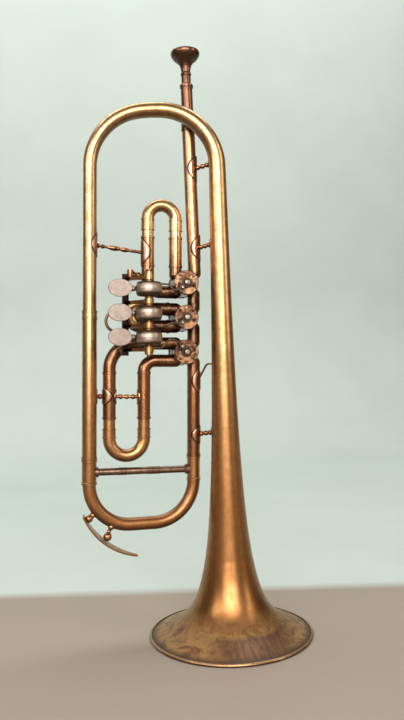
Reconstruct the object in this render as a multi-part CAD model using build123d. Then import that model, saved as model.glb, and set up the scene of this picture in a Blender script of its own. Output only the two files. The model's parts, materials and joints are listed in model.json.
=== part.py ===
"""A flugelhorn with three rotary valves, standing on its bell.

Millimetres. The origin is the centre of the bell's rim and +Z runs up the bell's axis. +X points from the
valves towards the bell's side, and -Y is the side with the levers. The tubes, valves and levers are drawn
upright in the body frame, which leans on the bell's axis by LEAN degrees, and are leaned as they are written.
"""

from build123d import *
import os
from math import asin, cos, degrees, exp, radians, sin, sqrt

os.makedirs("parts", exist_ok=True)

# Layout in the body frame
LEAN = 1.73  # the body leans this much towards the bell, in degrees
LEFT_X, LEFT_Y = -131.0, 14.0  # long outer tube
VALVE_Y = 20.0  # plane of the valves' ports, the valve slides and the leadpipe
ROTOR_X = -41.3
VALVE_Z = (328.4, 295.8, 263.2)
MAIN_OFFSET = 9.6  # main line's ports, sideways and up or down from the rotor's axis
SLIDE_OFFSET = 8.2  # slide ports, the same way on the other side
MAIN_X = ROTOR_X + MAIN_OFFSET
LEAN_NORMAL = Vector(LEFT_Y, -LEFT_X, 0).normalized()  # of the plane that holds the top bow

# Bell: radius = BELL_SCALE * (height + BELL_SHIFT + drop) ** -BELL_POWER. The drop turns the rim outwards:
# it is BELL_DROP at the foot, and fades over a height of BELL_DROP_OVER
BELL_SCALE, BELL_SHIFT, BELL_POWER = 274.0, 5.0, 0.58
BELL_DROP, BELL_DROP_OVER = 4.27, 4.0
BELL_TOP = 439.0
FLARE_STATIONS = (0.6, 2, 4, 7, 11, 17, 26, 42, 72)  # heights that shape the spun flare
STEM_STATIONS = (72, 90, 115, 150, 195, 250, 310, 370, BELL_TOP)  # and the stem that is brazed to it
SHEET = 0.5  # wall of the bell and the bow
RIM_R, RIM_WIRE_R = 74.6, 1.45
RIM_LAND = 0.05  # depth of the flat that the rim has worn where it stands

# Tubes: outer radius, inner radius
BOW_R = 6.3  # narrow end of the top bow
LEFT_RECEIVER = (6.7, 6.26)
RIGHT_RECEIVER = (6.2, 5.81)
LEFT_LEG = (6.2, 5.7)
RIGHT_LEG = (5.75, 5.25)
MAIN_BOW = (6.1, 5.6)
KNUCKLE = (6.0, 5.3)
SLEEVE = (6.1, 5.72)
INNER_LEG = (5.66, 5.2)
FERRULE_R = 6.15  # of the valve slides' ferrules
LEADPIPE = (6.1, 5.6)
KNUCKLE_TURN = Rot(25, 0, 40)  # of the spheres at the knuckles' corners
RING_HEIGHT = 0.55  # how far a ferrule's ring stands out of its tube

# Top bow, from the bell over to the left tube
BOW_RIGHT, BOW_CROWN, BOW_LEFT = 52.0, 115.0, 54.0  # its three radii
BOW_FERRULE_Z = 296.5

# Main tuning slide
RECEIVER_END_Z = 164.5
FERRULE_END_Z = 141.5
MAIN_LEG_TOP_Z = 224.0
MAIN_BOW_Z = 103.1
MAIN_BRACE_Z = 152.0

# Valves
CASING_R, BORE_R = 11.65, 9.4
CASING_Y = (8.5, 31.5)
PLATE_Y = 6.5  # front of the bearing plates
ROTOR_R, ROTOR_Y = 9.35, (9.2, 29.8)
PORT_R = 4.8
PASSAGE_R = 3.6
JOURNAL_R, JOURNAL_GAP = 2.5, 0.05
STOP_ARM_R = 7.5
STOP_ARM_Y = (4.4, 6.2)
STOP_PIN_R = 0.8
STOP_SIDE = (-1, -1, 1)  # where the stop arm rests: below or above the rotor's axis
CORK_R, CORK_ANGLE = 1.5, 26.0  # a cork stands this many degrees past the arm's two rests
CAP_R = 12.5

# Levers
LINK_Y = 2.4
LEVER_SWING = 30.0
CRANK_R = STOP_ARM_R * sin(radians(45)) / sin(radians(LEVER_SWING / 2))
AXLE_X, AXLE_R = -81.2, 1.8
AXLE_Y = LINK_Y - CRANK_R * cos(radians(LEVER_SWING / 2))
ARM_PITCH = 21.6
ARM_Z = [329.1 - ARM_PITCH * i for i in range(4)]
DRUM_R, DRUM_EDGE_R, DRUM_HEIGHT, DRUM_WALL = 12.0, 10.4, 12.0, 1.1
DRUM_Z = [z - ARM_PITCH / 2 for z in ARM_Z[:3]]
SIDE_GAP = 0.3
BOSS_R = 3.6
SPINE_X, SPINE_Y = -99.4, 5.0
PADDLE_X, PADDLE_Y = -107.4, AXLE_Y - 2.6
PADDLE_SIZE = (21.0, 15.6, 1.8)
THUMB_RING, THUMB_RING_R, THUMB_WIRE_R = (-106.9, 8.1, 291.0), 9.8, 1.35
SPRING_THICK, SPRING_PITCH, SPRING_HEIGHT, SPRING_HALVES = 0.4, 1.0, 7.0, 11
CRANK_THICK = 2.0
CRANK_SIDE = (1, -1, -1)  # a crank is at the top or the foot of its drum
CRANK_PIN_R, CRANK_EYE_R = 0.9, 2.3
LINK_WIRE_R = 0.85
LINK_EYE_THICK = 1.2
SLOT_GAP = 0.35  # round the stop arm's pin

# Valve slides, in the plane y = VALVE_Y
SLIDE_1_X = (-76.2, ROTOR_X - SLIDE_OFFSET)
SLIDE_1_SLEEVE_Z, SLIDE_1_FERRULE_Z = 372.5, 389.4
SLIDE_1_LEG_Z = 346.0
SLIDE_3_X = (-112.2, -79.7)
SLIDE_3_SLEEVE_Z, SLIDE_3_FERRULE_Z = 200.4, 182.5
SLIDE_3_LEG_Z = 239.0
SLIDE_2_SLEEVE_X, SLIDE_2_FERRULE_X = -80.5, -84.6
SLIDE_2_LEG_X = -57.0

# Leadpipe and mouthpiece: distances along the leadpipe's axis from its foot
LEAD_FOOT = Vector(ROTOR_X + 10.6, VALVE_Y, VALVE_Z[0] + 10.6)
LEAD_TOP = Vector(-40.1, VALVE_Y, 548.4)
LEAD_LENGTH = 141.0
RECEIVER_LENGTH = 181.6
SHANK_TAPER = ((RECEIVER_LENGTH - 25, 3.95), (RECEIVER_LENGTH, 4.55))  # distance, radius of the socket

# Stays: the heights of their ends
BELL_BRACE_Z = ((438.6, 442.5), (362.4, 366.9), (184.7, 189.1))  # on the leadpipe or leg, and on the bell
SLIDE_1_BRACE_Z = (361.5, 356.5)
SLIDE_3_BRACE_Z = (222.0, 221.6, 221.0)
WIRE_BRACE_Z, WIRE_CORNER = (252.5, 236.0), (-22.0, 6.5, 252.0)  # on the bell and the leg

# Finger hook: points of its curve as (x, z)
HOOK_START, HOOK_MIDDLE, HOOK_TIP = (-135.9, 112.6), (-119.3, 90.3), (-86.9, 74.3)
HOOK_THICK, HOOK_TILT = 1.6, 10.0
HOOK_POSTS = (
    ((-124.0, 116.0), ((-128.0, 113.7, 2.7), (-131.0, 110.6, 3.5))),
    ((-110.6, 104.5), ((-110.9, 102.2, 3.0), (-113.0, 98.0, 2.0), (-114.2, 93.4, 3.9))),
)  # in the bow (x, z), and the balls (x, z, radius)


def along(start, direction):
    """The plane at start whose Z runs along direction."""
    return Plane(origin=start, z_dir=direction)


def rod(start, end, radius):
    start, end = Vector(*start), Vector(*end)
    height = (end - start).length
    low = (Align.CENTER, Align.CENTER, Align.MIN)
    return along(start, end - start) * Cylinder(radius, height, align=low)


def ball(centre, radius, turn=Rot(0, 0, 0)):
    """A sphere. Turning it moves its seam and poles off the surfaces it meets."""
    return Pos(*centre) * (turn * Sphere(radius))


def tube(start, end, radii):
    return rod(start, end, radii[0]) - rod(start, end, radii[1])


def lathe(start, direction, outline):
    """A solid turned about the line from start along direction. The outline is (distance, radius) points."""
    points = [(radius, distance) for distance, radius in outline]
    face = make_face(Polyline(*points, close=True))
    profile = Plane.XZ * face
    return along(start, direction) * revolve(profile, Axis.Z)


def collar(start, direction, at, length, radii):
    """A plain ring round a tube: at is its distance from start along direction."""
    near, far = at - length / 2, at + length / 2
    outline = [(near, radii[1]), (near, radii[0]), (far, radii[0]), (far, radii[1])]
    return lathe(start, direction, outline)


def bent(points, bend, radius):
    """A solid rod along straight runs joined by tangent arcs."""
    path = FilletPolyline(*points, radius=bend)
    return sweep(along(path @ 0, path % 0) * Circle(radius), path)


def write(node, shape, leaning=True):
    solids = shape.solids()
    body = solids[0] if len(solids) == 1 else Compound(solids)
    if leaning:
        body = body.rotate(Axis((0, 0, 0), LEAN_NORMAL), LEAN)
    export_step(body, f"parts/{node}.step")


# Bell


def bell_curve(height):
    """The bell's radius at a height, and how fast it shrinks on the way up."""
    drop = BELL_DROP * exp(-height / BELL_DROP_OVER)
    reach = height + BELL_SHIFT + drop
    radius = BELL_SCALE * reach**-BELL_POWER
    return radius, BELL_POWER * radius / reach * (1 - drop / BELL_DROP_OVER)


def bell_radius(height):
    return bell_curve(height)[0]


def bell_line(heights, inset=0.0):
    """The bell's outline at these heights, as (radius, height) points, inset by a wall's thickness."""
    outline = []
    for height in heights:
        radius, slope = bell_curve(height)
        stretch = sqrt(1 + slope**2)
        outline.append((radius - inset / stretch, height - inset * slope / stretch))
    return outline


def bell_envelope():
    """The bell as a filled horn."""
    outline = bell_line(FLARE_STATIONS[:-1] + STEM_STATIONS)
    foot, top = outline[0], outline[-1]
    sides = Polyline(top, (0, top[1]), (0, foot[1]), foot)
    return revolve(Plane.XZ * make_face(Spline(*outline) + sides), Axis.Z)


def bell_sheet(heights):
    outer, inner = bell_line(heights), bell_line(heights, SHEET)
    ends = [Line(outer[end], inner[end]) for end in (0, -1)]
    return revolve(Plane.XZ * make_face([Spline(*outer), Spline(*inner)] + ends), Axis.Z)


def rim_wire_envelope():
    wire = Pos(0, 0, RIM_WIRE_R - RIM_LAND) * Torus(RIM_R, RIM_WIRE_R)
    return wire & Pos(0, 0, 5) * Box(200, 200, 10)


def bell():
    """The bell's two sheets: the spun flare, and the stem."""
    flare = bell_sheet(FLARE_STATIONS) - rim_wire_envelope()
    return flare.solids() + bell_sheet(STEM_STATIONS).solids()


# Main line


def bow_plane():
    """The plane of the top bow: X runs from the left tube to the bell's axis, and Y up."""
    across = Vector(-LEFT_X, -LEFT_Y, 0).normalized()
    return Plane(origin=(LEFT_X, LEFT_Y, 0), x_dir=across, z_dir=across.cross(Vector(0, 0, 1)))


def bow_path():
    """The top bow's curved part, from the left tube to the top of the bell."""
    lean = radians(LEAN)
    span = sqrt(LEFT_X**2 + LEFT_Y**2)
    bell_top = (span - sin(lean) * BELL_TOP, cos(lean) * BELL_TOP)
    apex_x = bell_top[0] - BOW_RIGHT * cos(lean)
    apex_z = bell_top[1] - BOW_RIGHT * sin(lean) + BOW_RIGHT
    turn = asin((apex_x - BOW_LEFT) / (BOW_CROWN - BOW_LEFT))
    knee = (apex_x - BOW_CROWN * sin(turn), apex_z - BOW_CROWN * (1 - cos(turn)))
    foot_z = knee[1] - BOW_LEFT * cos(turn)
    turn = degrees(turn)
    left = CenterArc((BOW_LEFT, foot_z), BOW_LEFT, 180, turn - 90)
    crown = CenterArc((apex_x, apex_z - BOW_CROWN), BOW_CROWN, 90 + turn, -turn)
    right = CenterArc((apex_x, apex_z - BOW_RIGHT), BOW_RIGHT, 90, LEAN - 90)
    return bow_plane() * Wire([left.edge(), crown.edge(), right.edge()]), foot_z


def bow_envelope(inset=0.0):
    path, foot_z = bow_path()
    radii = (BOW_R - inset, bell_radius(BELL_TOP) - inset)
    sections = [along(path @ end, path % end) * Circle(radius) for end, radius in enumerate(radii)]
    curved = sweep(sections, path=path, multisection=True)
    return curved + rod((LEFT_X, LEFT_Y, BOW_FERRULE_Z), (LEFT_X, LEFT_Y, foot_z), radii[0])


def top_bow():
    return bow_envelope() - bow_envelope(SHEET)


def bow_ferrule():
    foot = Vector(LEFT_X, LEFT_Y, BOW_FERRULE_Z)
    up = Vector(0, 0, 1)
    near, far = BOW_R, LEFT_RECEIVER[0]
    outline = [(-4, far), (-4, far + 0.5), (-2.4, far + 0.5), (-2, far + 0.25), (2, far + 0.25)]
    outline += [(2.4, far + 0.5), (4, far + 0.5), (4, near), (0, near), (0, far)]
    return lathe(foot, up, outline)


def left_receiver():
    foot = (LEFT_X, LEFT_Y, RECEIVER_END_Z)
    pipe = tube(foot, (LEFT_X, LEFT_Y, BOW_FERRULE_Z), LEFT_RECEIVER)
    outer = LEFT_RECEIVER[0]
    return pipe + collar(foot, (0, 0, 1), 1.0, 2.0, (outer + RING_HEIGHT, outer - 0.1))


def casing_envelope(valve, radius=CASING_R):
    x, z = ROTOR_X, VALVE_Z[valve]
    return rod((x, CASING_Y[0], z), (x, CASING_Y[1], z), radius)


def port_stub(valve, corner, radius):
    """The filled knuckle from a rotor's axis to a tube's corner: corner is sideways and up from the axis."""
    axis = Vector(ROTOR_X, VALVE_Y, VALVE_Z[valve])
    end = axis + Vector(corner[0], 0, corner[1])
    return rod(axis, end, radius) + ball(end, radius * 1.005, KNUCKLE_TURN)


def right_receiver():
    corner = (MAIN_OFFSET, -MAIN_OFFSET)
    top = (MAIN_X, VALVE_Y, VALVE_Z[2] - MAIN_OFFSET)
    foot = (MAIN_X, VALVE_Y, RECEIVER_END_Z)
    shell = [port_stub(2, corner, radius) + rod(top, foot, radius) for radius in RIGHT_RECEIVER]
    outer = RIGHT_RECEIVER[0]
    ring = collar(foot, (0, 0, 1), 1.0, 2.0, (outer + RING_HEIGHT, outer - 0.1))
    return shell[0] - shell[1] - casing_envelope(2) + ring


def main_knuckle(upper):
    """The tube from one valve's lower port to the next valve's upper port."""
    ends = [VALVE_Z[upper] - MAIN_OFFSET, VALVE_Z[upper + 1] + MAIN_OFFSET]
    shell = []
    for radius in KNUCKLE:
        link = rod((MAIN_X, VALVE_Y, ends[0]), (MAIN_X, VALVE_Y, ends[1]), radius)
        link += port_stub(upper, (MAIN_OFFSET, -MAIN_OFFSET), radius)
        shell.append(link + port_stub(upper + 1, (MAIN_OFFSET, MAIN_OFFSET), radius))
    return shell[0] - shell[1] - casing_envelope(upper) - casing_envelope(upper + 1)


def lead_axis():
    return (LEAD_TOP - LEAD_FOOT).normalized()


def leadpipe_envelope(radius=LEADPIPE[0]):
    offset = LEAD_FOOT - Vector(ROTOR_X, VALVE_Y, VALVE_Z[0])
    stub = port_stub(0, (offset.X, offset.Z), radius)
    return stub + rod(LEAD_FOOT, LEAD_FOOT + lead_axis() * LEAD_LENGTH, radius)


def leadpipe():
    return leadpipe_envelope() - leadpipe_envelope(LEADPIPE[1]) - casing_envelope(0)


def mouthpiece_receiver():
    end, mouth = LEAD_LENGTH, RECEIVER_LENGTH
    outline = [(end - 4, LEADPIPE[0]), (end - 4, 6.7), (end - 2, 6.9), (end, 6.7), (end + 3, 6.7)]
    outline += [(end + 4, 5.6), (mouth - 3.4, 5.6), (mouth - 2.8, 6.4), (mouth - 0.8, 6.5)]
    outline += [(mouth, 6.1), SHANK_TAPER[1], SHANK_TAPER[0], (end, 3.95), (end, LEADPIPE[0])]
    return lathe(LEAD_FOOT, lead_axis(), outline)


def mouthpiece():
    """A deep-cup mouthpiece. Its shank sits in the receiver with a running gap."""
    mouth, gap = RECEIVER_LENGTH, 0.04
    shank = [(mouth - 24, 2.9), (mouth - 24, SHANK_TAPER[0][1] + 0.02 - gap)]
    shank += [(mouth, SHANK_TAPER[1][1] - gap), (mouth + 3.8, 4.54), (mouth + 8.4, 4.5)]
    beads = [(mouth + 9.2, 5.0), (mouth + 10.1, 5.2), (mouth + 11.0, 5.0), (mouth + 11.8, 4.45)]
    beads += [(mouth + 14.8, 4.64), (mouth + 17.0, 5.1)]
    cup = [(mouth + 19.2, 6.0), (mouth + 21.0, 7.3), (mouth + 22.6, 9.0), (mouth + 24.1, 10.9)]
    rim = [(mouth + 26.4, 12.7), (mouth + 28.4, 13.7), (mouth + 30.1, 14.0), (mouth + 31.5, 13.6)]
    rim += [(mouth + 32.2, 12.2), (mouth + 31.8, 10.2), (mouth + 30.8, 8.9)]
    bowl = [(mouth + 26.5, 7.9), (mouth + 21, 5.0), (mouth + 16, 3.0), (mouth + 11, 1.9), (mouth + 4, 1.9)]
    return lathe(LEAD_FOOT, lead_axis(), shank + beads + cup + rim + bowl)


# Main tuning slide


def main_ends():
    """The feet of the main slide's two sides: x, y, ferrule's radius, leg's radii."""
    left = (LEFT_X, LEFT_Y, LEFT_RECEIVER[0], LEFT_LEG)
    return left, (MAIN_X, VALVE_Y, RIGHT_RECEIVER[0], RIGHT_LEG)


def main_slide_legs():
    low = FERRULE_END_Z + 2
    left, right = [tube((x, y, low), (x, y, MAIN_LEG_TOP_Z), leg) for x, y, _, leg in main_ends()]
    return left + right


def main_slide_ferrules():
    """Sleeves over the legs' ends, from just under the receivers to the bow."""
    low, high = FERRULE_END_Z, RECEIVER_END_Z - SIDE_GAP
    sleeves = []
    for x, y, radius, leg in main_ends():
        ring = radius + RING_HEIGHT
        outline = [(low, MAIN_BOW[0]), (low, ring), (low + 2, ring), (low + 2.4, radius)]
        outline += [(high - 2.4, radius), (high - 2, ring), (high, ring), (high, leg[0])]
        outline += [(low + 2, leg[0]), (low + 2, MAIN_BOW[0])]
        sleeves.append(lathe((x, y, 0), (0, 0, 1), outline))
    return sleeves[0] + sleeves[1]


def main_bow_envelope(radius=MAIN_BOW[0]):
    top = FERRULE_END_Z + 2
    points = [(LEFT_X, LEFT_Y, top), (LEFT_X, LEFT_Y, MAIN_BOW_Z)]
    points += [(MAIN_X, VALVE_Y, MAIN_BOW_Z), (MAIN_X, VALVE_Y, top)]
    return bent(points, FERRULE_END_Z - MAIN_BOW_Z, radius)


def main_bow():
    return main_bow_envelope() - main_bow_envelope(MAIN_BOW[1])


def main_slide_brace():
    """A turned stay between the two ferrules, thicker at its ends."""
    start, end = Vector(LEFT_X, LEFT_Y, MAIN_BRACE_Z + 0.6), Vector(MAIN_X, VALVE_Y, MAIN_BRACE_Z)
    length = (end - start).length
    outline = [(0, 0), (0, 4.6), (8.2, 4.6), (9, 3.35)]
    for first, rings in ((27.0, 4), (54.5, 6)):
        for ring in range(rings):
            at = first + 2.1 * ring
            outline += [(at, 3.35), (at + 0.3, 3.75), (at + 1.1, 3.75), (at + 1.4, 3.35)]
    outline += [(length - 9, 3.35), (length - 8.2, 4.6)]
    stay = lathe(start, end - start, outline + [(length, 4.6), (length, 0)])
    for x, y, radius, _ in main_ends():
        stay -= rod((x, y, FERRULE_END_Z), (x, y, RECEIVER_END_Z), radius)
    return stay


def finger_hook():
    """A curved plate that narrows to its tip, on two turned posts. Its front edge is the lower one."""
    curve = ThreePointArc(HOOK_START, HOOK_MIDDLE, HOOK_TIP)
    band = Plane.XZ * make_face(offset(curve, HOOK_THICK / 2))
    plate = Pos(0, LEFT_Y + 6, 0) * extrude(band, 12)
    plan = [(-138, 10.5), (-138, 17.5), (-122, 19.5), (-104, 18), (-84, 15.5)]
    plan += [(-84, 13.5), (-104, 10), (-122, 8.5)]
    plate &= Pos(0, 0, 60) * extrude(make_face(Polyline(*plan, close=True)), 70)
    start, tip = [Vector(x, LEFT_Y, z) for x, z in (HOOK_START, HOOK_TIP)]
    plate = plate.rotate(Axis(start, tip - start), HOOK_TILT)
    posts = []
    for foot, balls in HOOK_POSTS:
        centres = [Vector(x, LEFT_Y - 1, z) for x, z, _ in balls]
        post = rod(Vector(foot[0], LEFT_Y, foot[1]), centres[-1], 1.5)
        for centre, (_, _, radius) in zip(centres, balls):
            post += ball(centre, radius)
        posts.append(post - main_bow_envelope())
    return plate + posts[0] + posts[1]


# Valves


def valve_casing(valve):
    x, z = ROTOR_X, VALVE_Z[valve]
    shell = casing_envelope(valve) - casing_envelope(valve, BORE_R)
    centre = Vector(x, VALVE_Y, z)
    for side in (-1, 1):
        for rise in (-1, 1):
            shell -= rod(centre, centre + Vector(20 * side, 0, 20 * rise), PORT_R)
    return shell


def bearing_plate(valve):
    """The front plate, with a raised boss, two small screws and the holders of the two stop corks."""
    x, z = ROTOR_X, VALVE_Z[valve]
    front = PLATE_Y
    outline = [(0, JOURNAL_R + JOURNAL_GAP), (0, CASING_R - 0.6), (0.6, CASING_R), (2, CASING_R)]
    outline += [(2, JOURNAL_R + JOURNAL_GAP)]
    plate = lathe((x, front, z), (0, 1, 0), outline)
    for angle in (135, 45):
        spot = stop_point(valve, angle, 9.2, front, mirror=True)
        plate += ball(spot, 1.3) - rod((x, front + 1, z), (x, front + 9, z), CASING_R + 2)
    return plate


def stop_point(valve, angle, radius, y, mirror=False):
    """A point round a rotor's axis. The angle is measured from +X towards the side where the stop arm is."""
    side = -STOP_SIDE[valve] if mirror else STOP_SIDE[valve]
    turn = radians(angle)
    return Vector(ROTOR_X + radius * cos(turn), y, VALVE_Z[valve] + side * radius * sin(turn))


def stop_corks(valve):
    corks = []
    for angle in (135 + CORK_ANGLE, 45 - CORK_ANGLE):
        foot = stop_point(valve, angle, STOP_ARM_R, PLATE_Y)
        corks.append(rod(foot, foot - Vector(0, 2.0, 0), CORK_R))
    return corks


def rotor(valve):
    """The plug, with a curved passage on each side, and its two journals."""
    x, z = ROTOR_X, VALVE_Z[valve]
    plug = rod((x, ROTOR_Y[0], z), (x, ROTOR_Y[1], z), ROTOR_R)
    reach = ROTOR_R * sqrt(2)
    for side in (-1, 1):
        ring = along((x + side * reach, VALVE_Y, z), (0, 1, 0)) * Torus(ROTOR_R, PASSAGE_R)
        plug -= ring
    return plug + rod((x, STOP_ARM_Y[1], z), (x, CASING_Y[1] + 1.6, z), JOURNAL_R)


def stop_arm(valve):
    x, z = ROTOR_X, VALVE_Z[valve]
    low, high = STOP_ARM_Y
    tip = stop_point(valve, 135, STOP_ARM_R, low)
    blade = rod((x, low, z), (x, high, z), 4.4) + rod(tip, tip + Vector(0, high - low, 0), 1.6)
    bar = Pos(STOP_ARM_R / 2, (low + high) / 2, 0) * Box(STOP_ARM_R, high - low, 2.8)
    turn = 225 if STOP_SIDE[valve] > 0 else 135
    blade += Pos(x, 0, z) * (Rot(0, turn, 0) * bar)
    return blade + rod(tip, tip - Vector(0, low - 0.6, 0), STOP_PIN_R)


def stop_screw(valve):
    x, z = ROTOR_X, VALVE_Z[valve]
    y = STOP_ARM_Y[0]
    dome = [(0, 0), (0, 3.1), (0.8, 3.1), (1.4, 2.7), (1.9, 2.0), (2.2, 1.1), (2.3, 0)]
    return lathe((x, y, z), (0, -1, 0), dome) - Pos(x, y - 2.3, z) * (Rot(0, 38, 0) * Box(8, 1.0, 0.7))


def bottom_cap(valve):
    """The screwed cap at the back, with the rear bearing and a grip of flutes round its edge."""
    x, z = ROTOR_X, VALVE_Z[valve]
    back = CASING_Y[1]
    outline = [(back - 1.4, JOURNAL_R + JOURNAL_GAP), (back - 1.4, BORE_R), (back, BORE_R), (back, CAP_R)]
    outline += [(back + 2.6, CAP_R), (back + 3.6, CAP_R - 1), (back + 4.0, 4), (back + 4.8, 2.5)]
    outline += [(back + 4.8, 0), (back + 2, 0), (back + 2, JOURNAL_R + JOURNAL_GAP)]
    cap = lathe((x, 0, z), (0, 1, 0), outline)
    flutes = 20
    for flute in range(flutes):
        turn = radians(360 * flute / flutes)
        at = Vector(x + (CAP_R + 0.5) * cos(turn), back, z + (CAP_R + 0.5) * sin(turn))
        cap -= rod(at, at + Vector(0, 3, 0), 1.0)
    return cap


# Valve slides


def port_line(valve, rise):
    """Height of a slide port's tube."""
    return VALVE_Z[valve] + rise * SLIDE_OFFSET


def sleeve_pipe(valve, rise, points, bend, sleeve_start):
    """A knuckle from a slide port along points, with a wider sleeve from sleeve_start to the last point."""
    corner = (-SLIDE_OFFSET, rise * SLIDE_OFFSET)
    first = (ROTOR_X - SLIDE_OFFSET, VALVE_Y, port_line(valve, rise))
    route = [first] + points
    end = Vector(*route[-1])
    way = (end - Vector(*sleeve_start)).normalized()
    shells = []
    for radius, sleeve in zip(KNUCKLE, SLEEVE):
        path = bent(route, bend, radius) if bend else rod(first, end, radius)
        shells.append(port_stub(valve, corner, radius) + path + rod(sleeve_start, end, sleeve))
    pipe = shells[0] - shells[1] - casing_envelope(valve)
    length = (end - Vector(*sleeve_start)).length
    outer = SLEEVE[0]
    for at, wide in ((1.0, 2.0), (length - 0.9, 1.8)):
        pipe += collar(sleeve_start, way, at, wide, (outer + RING_HEIGHT, outer - 0.1))
    return pipe


def slide_sleeves():
    """The six fixed tubes that the valve slides move in."""
    y = VALVE_Y
    low_1, high_3 = 344.0, 244.5
    left_1, right_1 = SLIDE_1_X
    turn_1 = [(left_1, y, port_line(0, -1)), (left_1, y, SLIDE_1_SLEEVE_Z)]
    left_3, right_3 = SLIDE_3_X
    turn_3 = [(left_3, y, port_line(2, 1)), (left_3, y, SLIDE_3_SLEEVE_Z)]
    turn_3r = [(right_3, y, port_line(2, -1)), (right_3, y, SLIDE_3_SLEEVE_Z)]
    start_2, end_2 = -56.0, SLIDE_2_SLEEVE_X
    return {
        "slide_1_left_sleeve": sleeve_pipe(0, -1, turn_1, 11.5, (left_1, y, low_1)),
        "slide_1_right_sleeve": sleeve_pipe(0, 1, [(right_1, y, SLIDE_1_SLEEVE_Z)], 0, (right_1, y, low_1)),
        "slide_2_upper_sleeve": sleeve_pipe(
            1, 1, [(end_2, y, port_line(1, 1))], 0, (start_2, y, port_line(1, 1))
        ),
        "slide_2_lower_sleeve": sleeve_pipe(
            1, -1, [(end_2, y, port_line(1, -1))], 0, (start_2, y, port_line(1, -1))
        ),
        "slide_3_left_sleeve": sleeve_pipe(2, 1, turn_3, 25.0, (left_3, y, high_3)),
        "slide_3_right_sleeve": sleeve_pipe(2, -1, turn_3r, 10.2, (right_3, y, high_3)),
    }


def slide_legs(ends, far):
    """Two inner legs: ends are where they leave the bow, and far is the vector to their inner ends."""
    legs = [tube(end, Vector(*end) + far, INNER_LEG) for end in ends]
    return legs[0] + legs[1]


def slide_bow(ends, way, ferrule):
    """A half-circle bow on two ferrules of the given length: way points from the ends out to the bow."""
    first, second = Vector(*ends[0]), Vector(*ends[1])
    way = Vector(*way)
    middle = (first + second) * 0.5
    reach = (second - first).length / 2
    crown = middle + way * reach
    path = ThreePointArc(first, crown, second)
    section = [along(first, way) * Circle(radius) for radius in (KNUCKLE[0], INNER_LEG[1])]
    bow = sweep(section[0], path) - sweep(section[1], path)
    outline = [(-ferrule, INNER_LEG[0]), (-ferrule, FERRULE_R + 0.4), (1.1 - ferrule, FERRULE_R + 0.4)]
    outline += [(1.4 - ferrule, FERRULE_R), (-1.6, FERRULE_R), (-1.3, FERRULE_R + 0.4)]
    outline += [(-0.2, FERRULE_R + 0.4), (0, FERRULE_R), (0, INNER_LEG[0])]
    for end in (first, second):
        bow += lathe(end, way, outline)
    return bow


def valve_slides():
    """Ends at the bow, the vector to the legs' inner ends, the way to draw each slide, and its ferrules."""
    y, long, short = VALVE_Y, 11.0, 3.2
    slides = {}
    ends = [(x, y, SLIDE_1_FERRULE_Z) for x in SLIDE_1_X]
    slides["slide_1"] = (ends, Vector(0, 0, SLIDE_1_LEG_Z - SLIDE_1_FERRULE_Z), (0, 0, 1), long)
    ends = [(SLIDE_2_FERRULE_X, y, port_line(1, rise)) for rise in (1, -1)]
    slides["slide_2"] = (ends, Vector(SLIDE_2_LEG_X - SLIDE_2_FERRULE_X, 0, 0), (-1, 0, 0), short)
    ends = [(x, y, SLIDE_3_FERRULE_Z) for x in SLIDE_3_X]
    slides["slide_3"] = (ends, Vector(0, 0, SLIDE_3_LEG_Z - SLIDE_3_FERRULE_Z), (0, 0, -1), long - 2)
    return slides


# Levers


def drum_outline():
    """The crowned side of a drum, as (height, radius) points from its foot to its top."""
    half = DRUM_HEIGHT / 2
    bulge = DRUM_R - DRUM_EDGE_R
    steps = [-1, -0.75, -0.4, 0, 0.4, 0.75, 1]
    return [(half * step, DRUM_R - bulge * step**2) for step in steps]


def drum(lever):
    """A spring drum: a crowned cup with a crank at its back, and the lid that closes its foot."""
    at = (AXLE_X, AXLE_Y, DRUM_Z[lever])
    half, bore = DRUM_HEIGHT / 2, AXLE_R + JOURNAL_GAP
    inner = DRUM_EDGE_R - DRUM_WALL
    outline = drum_outline() + [(half, bore), (half - 1.2, bore), (half - 1.2, inner), (-half, inner)]
    cup = lathe(at, (0, 0, 1), outline)
    lid = lathe(at, (0, 0, 1), [(-half, bore), (-half, inner), (1.2 - half, inner), (1.2 - half, bore)])
    pin = crank_pin(lever)
    crank_z = DRUM_Z[lever] + CRANK_SIDE[lever] * (half - CRANK_THICK / 2)
    face = Vector(0, 0, CRANK_THICK / 2)
    end = Vector(pin.X, pin.Y, crank_z)
    crank = rod(end - face, end + face, CRANK_EYE_R)
    centre = Vector(AXLE_X, AXLE_Y, crank_z)
    way = (end - centre).normalized()
    bar = Plane(origin=(centre + end) * 0.5, x_dir=way, z_dir=(0, 0, 1)) * Box(CRANK_R, 3.6, CRANK_THICK)
    crank += bar
    crank -= rod(centre - face * 2, centre + face * 2, DRUM_EDGE_R - 0.4)
    post = Vector(0, 0, CRANK_SIDE[lever] * (CRANK_THICK / 2 + 1.9))
    crank += rod(end, end + post, CRANK_PIN_R)
    return (cup + crank).solids() + lid.solids()


def crank_pin(lever):
    """The middle of a link's eye on its crank pin, at rest."""
    turn = radians(LEVER_SWING / 2)
    rise = CRANK_SIDE[lever] * (DRUM_HEIGHT / 2 + 1.0)
    return Vector(AXLE_X - CRANK_R * sin(turn), AXLE_Y + CRANK_R * cos(turn), DRUM_Z[lever] + rise)


def drum_envelope(lever):
    return lathe((AXLE_X, AXLE_Y, DRUM_Z[lever]), (0, 0, 1), drum_outline() + [(6, 0), (-6, 0)])


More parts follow.
